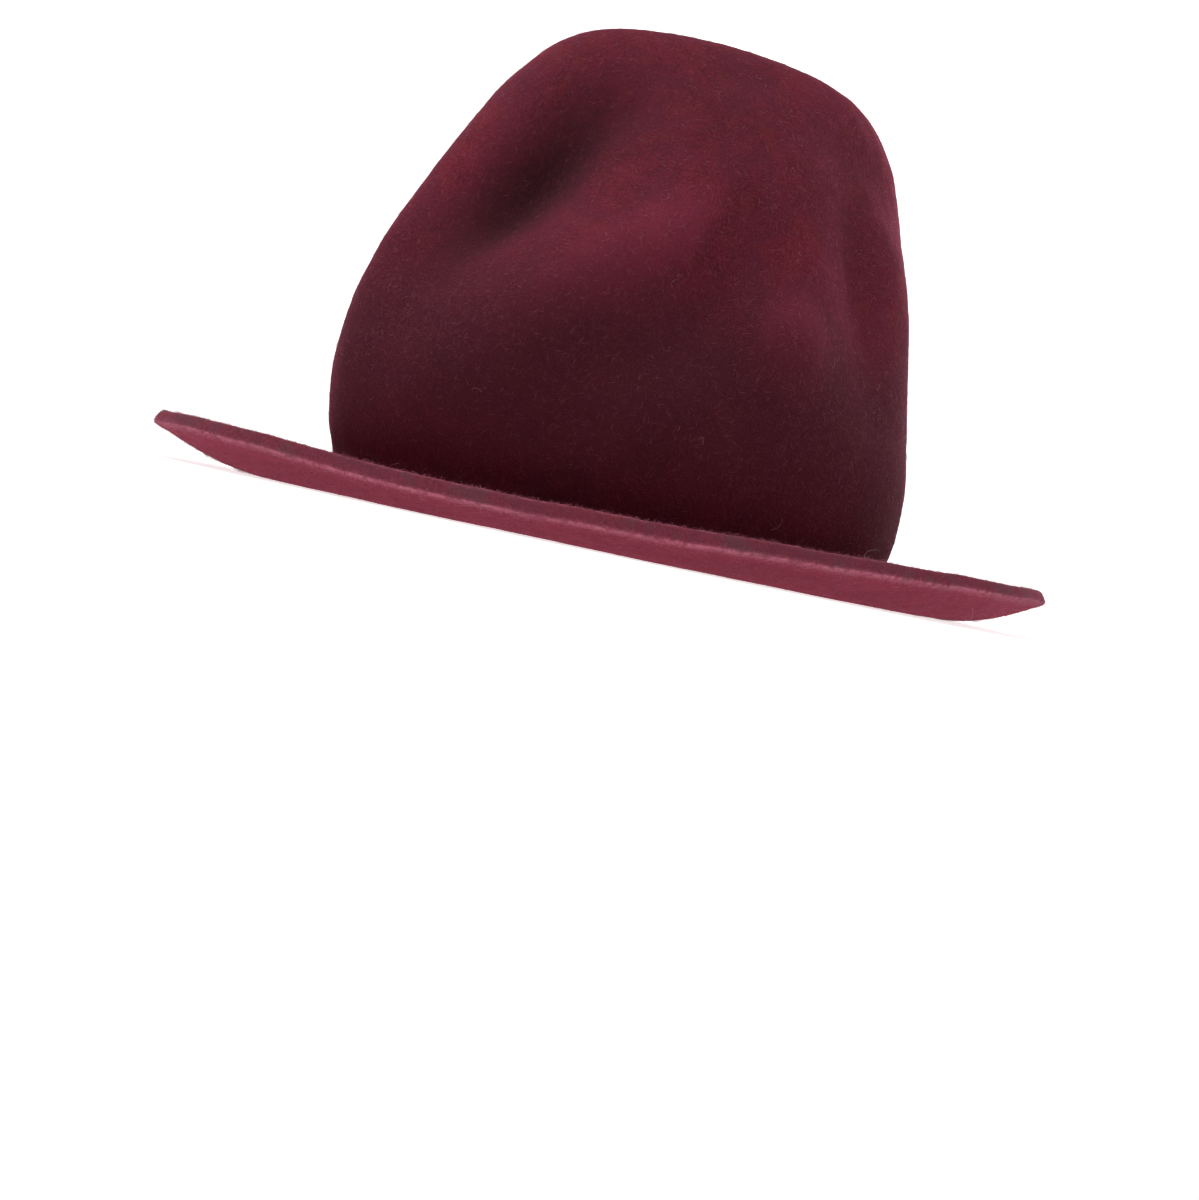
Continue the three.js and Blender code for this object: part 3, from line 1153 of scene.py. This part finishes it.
def slab(front, back):
    """(points, faces) of a closed sheet between two grids of points."""
    rows, columns = front.shape[:2]
    size = rows * columns
    sheet = skin_faces(rows, columns, closed=False)
    faces = sheet + [tuple(size + corner for corner in reversed(face)) for face in sheet]
    lower = list(range(columns))
    right = [row * columns + columns - 1 for row in range(1, rows)]
    upper = list(range(size - 2, size - columns - 1, -1))
    left = [row * columns for row in range(rows - 2, -1, -1)]
    border = lower + right + upper + left
    for start, end in zip(border[:-1], border[1:]):
        faces.append((start, end, size + end, size + start))
    return np.concatenate([front.reshape(-1, 3), back.reshape(-1, 3)]), faces


def label_material(look):
    """Bare white woven satin, with fine crossing threads and a faint blue shade."""
    material, graph = new_material("white_satin_weave")
    parts = graph.parts(graph.attribute("weave", "Vector"))
    place = graph.millimetres()
    warp = graph.wave(parts["X"], LABEL_WARP)
    weft = graph.wave(parts["Y"], LABEL_WEFT, parts["X"] * (2 * math.pi / LABEL_REPEAT))
    crossed = 0.5 + warp * 0.22 + weft * 0.28
    cloudy = graph.grain(place, 9)
    worn = graph.grain(place, 0.6)
    shade = graph.between(crossed * 0.5 + cloudy * 0.35 + worn * 0.25, 0.25, 0.8)
    graph.finish_surface({
        "Base Color": graph.mix(shade, shaded(look.colour, 0.82), look.colour),
        "Roughness": graph.between(worn, 0.25, 0.75, 0.38, 0.55),
        "Specular IOR Level": 0.45,
        "Sheen Weight": 0.15,
        "Normal": graph.bump(crossed, 0.05),
    })
    return material


# Stitches

def stitch_path(band, name, angles, ways, depth, closed):
    """A line on the ribbon at that depth from the felt, which holds how its stitches face."""
    points = ribbon_points(band, angles, ways, depth)
    mesh = line_mesh(f"{name}_path", points, closed)
    give_values(mesh, "facing", ribbon_points(band, angles, ways, depth + 1) - points)
    return mesh


def stitch_tree():
    """Lays short arched stitches end to end along a path, each with a small gap."""
    graph, given = new_shape_graph("stitches", {
        "Pitch": "Float",
        "Length": "Float",
        "Rise": "Float",
        "Thread": "Float",
        "Material": "Material",
    })
    places = points_along(graph, given["Geometry"], "LENGTH", {"Length": given["Pitch"]})
    tangent = {"Vector": graph.node("GeometryNodeInputTangent")}
    along = graph.node("FunctionNodeAlignRotationToVector", tangent, axis="X")
    facing = graph.marked("facing", "FLOAT_VECTOR")
    turned = graph.node("FunctionNodeAlignRotationToVector", {
        "Rotation": along,
        "Vector": facing,
    }, axis="Z", pivot_axis="X")
    half = given["Length"] * 0.5
    arch = graph.node("GeometryNodeCurveQuadraticBezier", {
        "Resolution": 6,
        "Start": graph.vector(X=0 - half, Z=0 - given["Rise"]),
        "Middle": graph.vector(Z=given["Rise"] * 1.6),
        "End": graph.vector(X=half, Z=0 - given["Rise"]),
    })
    section = graph.node("GeometryNodeCurvePrimitiveCircle", {
        "Resolution": 6,
        "Radius": given["Thread"] * 0.5,
    })
    stitch = graph.node("GeometryNodeCurveToMesh", {
        "Curve": arch,
        "Profile Curve": section,
        "Fill Caps": True,
    })
    return finish_shape(graph, given["Material"], {
        "Points": places,
        "Instance": stitch,
        "Rotation": turned,
    })


def thread_material(name, colour):
    """Twisted sewing thread."""
    material, graph = new_material(name)
    place = graph.millimetres()
    twist = graph.grain(place, 0.25, 1.0)
    graph.finish_surface({
        "Base Color": graph.mix(twist, shaded(colour, 0.6), colour),
        "Roughness": 0.6,
        "Sheen Weight": 0.2,
        "Normal": graph.bump(twist, 0.05),
    })
    return material


# Sizes and colours that a user may change

def described(kind, **settings):
    """A maker of one kind of property, which takes its name, description and default."""
    def maker(name, description, default):
        return kind(name=name, description=description, default=default, **settings)

    return maker


number_property = described(bpy.props.FloatProperty, min=0)
count_property = described(bpy.props.IntProperty)
angle_property = described(bpy.props.FloatProperty, subtype="ANGLE", unit="ROTATION")
colour_property = described(bpy.props.FloatVectorProperty, size=3, min=0, max=1, subtype="COLOR")
length_property = described(
    bpy.props.FloatProperty, min=0, precision=5, subtype="DISTANCE", unit="LENGTH"
)


class HatFeltLook(bpy.types.PropertyGroup):
    """Thickness, unevenness and colours of the felt."""

    wall: length_property("Wall", "Thickness of the felt", 3 * MM)
    rim_wall: length_property("Rim wall", "Thickness of the felt at its cut rim", 4.4 * MM)
    wave_depth: length_property("Wave depth", "Depth of the broad waves of the felt", 0.55 * MM)
    dimple_depth: length_property("Dimple depth", "Depth of the small dimples", 0.16 * MM)
    sheen: number_property("Sheen", "How much the nap lightens the felt seen edge on", 0.45)
    # Also mixed in as painted shade round the lower crown
    deep_colour: colour_property("Deep", "Darkest of the blended wool", (0.048, 0.009, 0.016))
    felt_colour: colour_property("Felt", "Main colour of the wool", (0.135, 0.0142, 0.0245))
    # Also mixed in as painted light on the swells and the brim
    light_colour: colour_property("Light", "Lightest of the blended wool", (0.23, 0.0275, 0.052))
    mauve_colour: colour_property("Mauve", "Colour of its bluer patches", (0.105, 0.0155, 0.034))
    warm_colour: colour_property("Warm", "Colour of its redder patches", (0.21, 0.027, 0.022))
    # Painted shade: the dark colour mixed into the felt deep in a dent
    dent_shade_colour: colour_property("Dent", "Colour deep in a dent", (0.022, 0.0065, 0.0095))
    # Partly greyed raw wool, partly painted light on the cut rim
    rim_colour: colour_property("Rim", "Greyed wool of the cut rim", (0.11, 0.052, 0.06))
    # Also mixed in as painted light on the cut rim and as painted highlight on its arrises
    fibre_colour: colour_property("Fibre", "Pale fibres on the surface", (0.42, 0.12, 0.17))
    hair_colour: colour_property("Hair", "Odd long hairs of undyed wool", (0.75, 0.5, 0.5))


class HatNapSizes(bpy.types.PropertyGroup):
    """Length, thickness and number of the loose fibres."""

    length: length_property("Length", "Length of a usual fibre", 2.4 * MM)
    thickness: length_property("Thickness", "Thickness of a fibre", 0.06 * MM)
    crown: number_property("Crown", "Fibres on each square centimetre of the crown", 20)
    brim: number_property("Brim", "Fibres on each square centimetre of the brim", 22)
    rim: number_property("Rim", "Fibres on each square centimetre of the cut rim", 300)
    deep_share: number_property("Deep share", "Share of dark fibres for each pale one", 0.6)
    hair_length: length_property("Hair", "Length of a long stray hair", 7 * MM)
    hairs: number_property("Hairs", "Long stray hairs on each square metre", 500)


class HatBandSizes(bpy.types.PropertyGroup):
    """Sizes of the sweatband ribbon."""

    height: length_property("Height", "Width of the ribbon", 32 * MM)
    ground: length_property("Ground", "Thickness of the ribbon between its ribs", 0.55 * MM)
    rib_height: length_property("Rib height", "How far a rib stands out", 0.4 * MM)
    flare: length_property("Flare", "How far the free upper edge leans to the felt", 0.8 * MM)
    lower_turn: angle_property("Lower turn", "How far the lower edge rolls out", math.radians(40))
    ribs: count_property("Ribs", "Ribs all the way round", 312)
    rib_share: number_property("Rib share", "Width of a rib as a share of its pitch", 0.62)


class HatLabelSizes(bpy.types.PropertyGroup):
    """Place, sizes and colour of the bare label."""

    angle: angle_property("Angle", "Where the middle of the label lies", math.radians(190.5))
    width: length_property("Width", "Width along the ribbon", 47 * MM)
    height: length_property("Height", "Height across the ribbon", 29 * MM)
    thickness: length_property("Thickness", "Thickness of the woven tape", 0.45 * MM)
    colour: colour_property("Colour", "Colour of the satin", (0.80, 0.83, 0.88))


class HatStitchSizes(bpy.types.PropertyGroup):
    """Sizes and colours of the stitches."""

    pitch: length_property("Pitch", "Way from one stitch to the next", 3.2 * MM)
    length: length_property("Length", "Length of a stitch", 2.3 * MM)
    rise: length_property("Rise", "How far a stitch stands up in its middle", 0.22 * MM)
    thread: length_property("Thread", "Thickness of the thread", 0.34 * MM)
    band_colour: colour_property("Band thread", "Thread of the sweatband", (0.10, 0.018, 0.03))
    label_colour: colour_property("Label thread", "Thread of the label", (0.62, 0.65, 0.70))


class HatStageLook(bpy.types.PropertyGroup):
    """The studio round the hat."""

    floor_colour: colour_property("Floor", "Colour of the floor", (0.9, 0.9, 0.9))
    shade_colour: colour_property("Shade", "Colour of the floor behind the camera", (0.4, 0.4, 0.4))
    overhead: number_property("Overhead", "Power of the soft overhead light in watts", 18.2)
    surround: number_property("Surround", "Strength of the light from above", 0.04)
    floor_glow: number_property("Floor glow", "Glow of the floor round the hat", 0.14)
    rim_glow: number_property("Rim glow", "Glow of the floor close to the brim", 0.6)
    wall_far: number_property("Far wall", "Glow of the wall behind the hat", 1.0)
    wall_near: number_property("Near wall", "Glow of the wall behind the camera", 0.2)
    back_glow: number_property("Back glow", "More glow behind the hat, at the right of the picture", 2.6)


# Operators

def add_piece(mesh, slot, material=None):
    """Shows a mesh as a piece of the hat that rides on its one body."""
    piece = shown_object(mesh)
    if material is not None:
        mesh.materials.clear()
        mesh.materials.append(material)
    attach(piece, BODY)
    return piece


class HAT_OT_felt(bpy.types.Operator):
    """Makes the felt body with its folds, curled brim and cut rim."""

    bl_idname = "hat.felt"
    bl_label = "Felt body"

    def execute(self, context):
        look = context.scene.hat_felt
        piece = add_piece(felt_mesh(look), "felt", felt_material(look))
        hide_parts("felt_body")
        return {"FINISHED"}


class HAT_OT_nap(bpy.types.Operator):
    """Scatters loose fibres and stray hairs over the felt."""

    bl_idname = "hat.nap"
    bl_label = "Nap"

    def execute(self, context):
        sizes = context.scene.hat_nap
        look = context.scene.hat_felt
        felt = bpy.data.objects["felt_body_wool"].data
        tree = nap_tree()
        fibre = fibre_object(sizes.length / MM, sizes.thickness / MM)
        short = fibre_object(sizes.length * SHORT_SHARE / MM, sizes.thickness / MM)
        hair = hair_object(sizes.hair_length / MM, sizes.thickness * HAIR_THICKNESS / MM)
        pale = fibre_material("pale_fibre", look.fibre_colour)
        deep = fibre_material("deep_fibre", look.felt_colour)
        white = fibre_material("white_hair", look.hair_colour)
        crown, brim, rim = (part / SQUARE_CENTIMETRE for part in (sizes.crown, sizes.brim, sizes.rim))
        share = sizes.deep_share
        rows = (
            ("crown_nap_pale", "combed", fibre, crown, 0.02, 0.22, pale),
            ("crown_nap_deep", "crown", fibre, crown * share, 0.05, 0.4, deep),
            ("brim_nap_pale", "brim", fibre, brim, 0.02, 0.22, pale),
            ("brim_nap_deep", "brim", fibre, brim * share, 0.05, 0.4, deep),
            ("rim_nap_pale", "arris", short, rim, 0.1, 0.7, pale),
            ("rim_nap_deep", "edge", short, rim * share, 0.05, 0.35, deep),
            ("crown_stray_hairs", "crown", hair, sizes.hairs, 0.0, 0.12, white),
            ("brim_stray_hairs", "brim", hair, sizes.hairs, 0.0, 0.12, white),
            ("rim_stray_hairs", "edge", hair, sizes.hairs * RIM_HAIRS, 0.0, 0.3, pale),
        )
        for seed, (name, mark, shape, density, low, high, material) in enumerate(rows):
            mesh = grown_mesh(name, felt, tree, {
                "Mark": mark,
                "Fibre": shape,
                "Density": density,
                "Lowest tilt": low,
                "Highest tilt": high,
                "Seed": SEED_STEP * seed + FIRST_SEED,
                "Material": material,
            })
            keep_above_floor(mesh)
            add_piece(mesh, "felt")
        for helper in (fibre, short, hair):
            bpy.data.objects.remove(helper)
        return {"FINISHED"}


class HAT_OT_sweatband(bpy.types.Operator):
    """Makes the striped ribbon with its ribs."""

    bl_idname = "hat.sweatband"
    bl_label = "Sweatband"

    def execute(self, context):
        band = context.scene.hat_band
        material = ribbon_material()
        ground = add_piece(band_mesh(band), "ribbon", material)
        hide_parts("sweatband")
        angles = all_round(PATH_POINTS)
        path = line_mesh("opening", points_at(angles, opening_reach(angles), 0), closed=True)
        rib = rib_object(band)
        ribs = grown_mesh("sweatband_ribs", path, rib_tree(), {
            "Rib": rib,
            "Count": band.ribs,
            "Material": material,
        })
        bpy.data.objects.remove(rib)
        mark_weave(band, ribs, "rib")
        ribs_piece = add_piece(ribs, "ribbon")
        return {"FINISHED"}


class HAT_OT_label(bpy.types.Operator):
    """Makes the bare woven label."""

    bl_idname = "hat.label"
    bl_label = "Label"

    def execute(self, context):
        label = context.scene.hat_label
        mesh = label_mesh(label, context.scene.hat_band)
        piece = add_piece(mesh, "woven_label", label_material(label))
        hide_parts("label")
        return {"FINISHED"}


class HAT_OT_stitches(bpy.types.Operator):
    """Sews the sweatband and the label."""

    bl_idname = "hat.stitches"
    bl_label = "Stitches"

    def execute(self, context):
        sizes = context.scene.hat_stitches
        tree = stitch_tree()
        for name, path, colour, slot, scale in self.rows(context, sizes):
            mesh = grown_mesh(name, path, tree, {
                "Pitch": sizes.pitch * scale,
                "Length": sizes.length * scale,
                "Rise": sizes.rise * scale,
                "Thread": sizes.thread * scale,
                "Material": thread_material(f"{name}_thread", colour),
            })
            add_piece(mesh, slot)
        return {"FINISHED"}

    def rows(self, context, sizes):
        """The name, path, thread colour, slot and relative size of each row of stitches."""
        band = context.scene.hat_band
        label = context.scene.hat_label
        ribs = RIBBON_GAP + (band.ground + band.rib_height) / MM
        name = "sweatband_stitches"
        angles = all_round(BAND_STITCH_POINTS)
        path = stitch_path(band, name, angles, BAND_STITCH_WAY, ribs, closed=True)
        yield name, path, sizes.band_colour, "ribbon", 1
        top = ribs + LABEL_GAP + label.thickness / MM + THREAD_LIFT
        ways = np.linspace(LABEL_LOWER_WAY + 1, label.height / MM, LABEL_STITCH_POINTS)
        for name, side in (("label_stitches_right", -1), ("label_stitches_left", 1)):
            angles = np.full(len(ways), label.angle + side * half_label(label) * LABEL_STITCH_SHARE)
            path = stitch_path(band, name, angles, ways, top, closed=False)
            yield name, path, sizes.label_colour, "woven_label", LABEL_STITCH_SCALE


class HAT_OT_stage(bpy.types.Operator):
    """Makes the floor, the soft light and the camera."""

    bl_idname = "hat.stage"
    bl_label = "Stage"

    def execute(self, context):
        look = context.scene.hat_stage
        studio_floor(look)
        soft_light(look.overhead)
        world = bpy.data.worlds.new("surround")
        world.use_nodes = True
        graph = Graph(world.node_tree)
        white = (1.0, 1.0, 1.0)
        sky = graph.node("ShaderNodeBackground", {"Color": white, "Strength": look.surround})
        graph.node("ShaderNodeOutputWorld", {"Surface": sky})
        context.scene.world = world
        context.scene.view_settings.view_transform = "Standard"
        context.scene.camera = photo_camera()
        return {"FINISHED"}


# The studio

FLOOR_RADII = (400, 1000, 1800)
FLOOR_SWEEP = 3200
FLOOR_STEPS = 16
FLOOR_COLUMNS = 96
BRIM_GLOW_RADII = (0.34, 0.2)
FLOOR_GLOW_RADII = (0.9, 0.5)
WALL_GLOW_RADII = (0.25, 1.4)
BACK_GLOW_RADII = (0.5, 1.6)
SHADE_RADII = (0.45, 0.8)
LIGHT_PLACE = (-0.12, -0.28, 1.35)
LIGHT_TARGET = (0, 0, 0.08)
LIGHT_SIDE = 0.7


def studio_floor(look):
    """A round floor that sweeps up into a softly glowing wall on every side."""
    profile = [(radius, 0.0) for radius in FLOOR_RADII]
    for step in range(1, FLOOR_STEPS + 1):
        turn = step / FLOOR_STEPS * math.pi / 2
        radius = FLOOR_RADII[-1] + FLOOR_SWEEP * math.sin(turn)
        profile.append((radius, FLOOR_SWEEP * (1 - math.cos(turn))))
    angles = all_round(FLOOR_COLUMNS)
    rings = [points_at(angles, radius, height) for radius, height in profile]
    points = [*np.concatenate(rings), np.zeros(3)]
    middle = len(points) - 1
    faces = skin_faces(len(rings), FLOOR_COLUMNS)
    faces += [(middle, column, (column + 1) % FLOOR_COLUMNS) for column in range(FLOOR_COLUMNS)]
    mesh = plain_mesh("studio_floor", points, [], faces)
    mesh.materials.append(floor_material(look))
    return shown_object(mesh)


def floor_material(look):
    """A pale matt floor that glows close to the brim and far off, most of all behind the hat."""
    material, graph = new_material("pale_floor")
    material.cycles.emission_sampling = "NONE"
    place = graph.node("ShaderNodeTexCoord", output="Object")
    parts = graph.parts(place)
    azimuth = math.radians(VIEW_AZIMUTH)
    behind = parts["Y"] * math.cos(azimuth) - parts["X"] * math.sin(azimuth)
    radius = graph.maths("SQRT", parts["X"] * parts["X"] + parts["Y"] * parts["Y"])
    glow = graph.between(behind / radius, -0.5, 0.7, look.wall_near, look.wall_far)
    glow = glow * graph.between(radius, *WALL_GLOW_RADII)
    glow = glow + graph.between(radius, *FLOOR_GLOW_RADII) * look.floor_glow
    glow = glow + graph.between(radius, *BRIM_GLOW_RADII) * look.rim_glow
    aside = parts["X"] * math.cos(azimuth) + parts["Y"] * math.sin(azimuth)
    back = graph.between(behind / radius, 0.35, 0.75) * graph.between(aside / radius, 0.3, 0.6)
    glow = glow + back * graph.between(radius, *BACK_GLOW_RADII) * look.back_glow
    shade = graph.between(radius, *SHADE_RADII) * graph.between(behind / radius, 0.4, -0.3)
    graph.finish_surface({
        "Base Color": graph.mix(shade, look.floor_colour, look.shade_colour),
        "Roughness": 0.9,
        "Specular IOR Level": 0.1,
        "Emission Color": graph.grey(glow),
        "Emission Strength": 1.0,
    })
    return material


def soft_light(power):
    """A square light of that power in watts, high up in front, that faces the crown."""
    lamp = bpy.data.lights.new("overhead_light", "AREA")
    lamp.size = LIGHT_SIDE
    lamp.energy = power
    light = shown_object(lamp)
    light.location = LIGHT_PLACE
    facing = Vector(LIGHT_TARGET) - Vector(LIGHT_PLACE)
    light.rotation_euler = facing.to_track_quat("-Z", "Y").to_euler()


def photo_camera():
    """The camera at the photo's angle to the hat, just above the floor."""
    azimuth, elevation, roll = map(math.radians, (VIEW_AZIMUTH, VIEW_ELEVATION, VIEW_ROLL))
    back = Vector((
        math.sin(azimuth) * math.cos(elevation),
        -math.cos(azimuth) * math.cos(elevation),
        math.sin(elevation),
    ))
    right = Vector((math.cos(azimuth), math.sin(azimuth), 0))
    up = back.cross(right)
    rolled_right = right * math.cos(roll) + up * math.sin(roll)
    rolled_up = up * math.cos(roll) - right * math.sin(roll)
    camera = shown_object(bpy.data.cameras.new("photo_camera"))
    turn = Matrix((rolled_right, rolled_up, back)).transposed()
    camera.matrix_world = Matrix.Translation(back * VIEW_DISTANCE * MM) @ turn.to_4x4()
    camera.data.sensor_width = SENSOR_WIDTH
    camera.data.lens = FOCAL_PIXELS * SENSOR_WIDTH / IMAGE_SIDE
    camera.data.shift_x = -ORIGIN_RIGHT_PIXELS / IMAGE_SIDE
    camera.data.shift_y = -ORIGIN_UP_PIXELS / IMAGE_SIDE
    camera.data.clip_start = 0.001
    return camera


# The panel and the classes in use

class HAT_PT_panel(bpy.types.Panel):
    """Lists the pieces of the hat and what can be changed."""

    bl_idname = "HAT_PT_panel"
    bl_label = "Mountain hat"
    bl_space_type = "VIEW_3D"
    bl_region_type = "UI"
    bl_category = "Hat"

    def draw(self, context):
        for operator, group_name in STEPS:
            box = self.layout.box()
            box.operator(operator.bl_idname)
            group = getattr(context.scene, group_name)
            for name in group.__annotations__:
                box.prop(group, name)


LOOKS = {
    "hat_felt": HatFeltLook,
    "hat_nap": HatNapSizes,
    "hat_band": HatBandSizes,
    "hat_label": HatLabelSizes,
    "hat_stitches": HatStitchSizes,
    "hat_stage": HatStageLook,
}

STEPS = (
    (HAT_OT_felt, "hat_felt"),
    (HAT_OT_nap, "hat_nap"),
    (HAT_OT_sweatband, "hat_band"),
    (HAT_OT_label, "hat_label"),
    (HAT_OT_stitches, "hat_stitches"),
    (HAT_OT_stage, "hat_stage"),
)

CLASSES = (*LOOKS.values(), *(operator for operator, group_name in STEPS), HAT_PT_panel)


def register():
    for kind in CLASSES:
        bpy.utils.register_class(kind)
    for name, kind in LOOKS.items():
        setattr(bpy.types.Scene, name, bpy.props.PointerProperty(type=kind))


def unregister():
    for name in LOOKS:
        delattr(bpy.types.Scene, name)
    for kind in reversed(CLASSES):
        bpy.utils.unregister_class(kind)


def main():
    register()
    bpy.ops.hat.felt()
    bpy.ops.hat.nap()
    bpy.ops.hat.sweatband()
    bpy.ops.hat.label()
    bpy.ops.hat.stitches()
    bpy.ops.hat.stage()


if __name__ == "__main__":
    main()
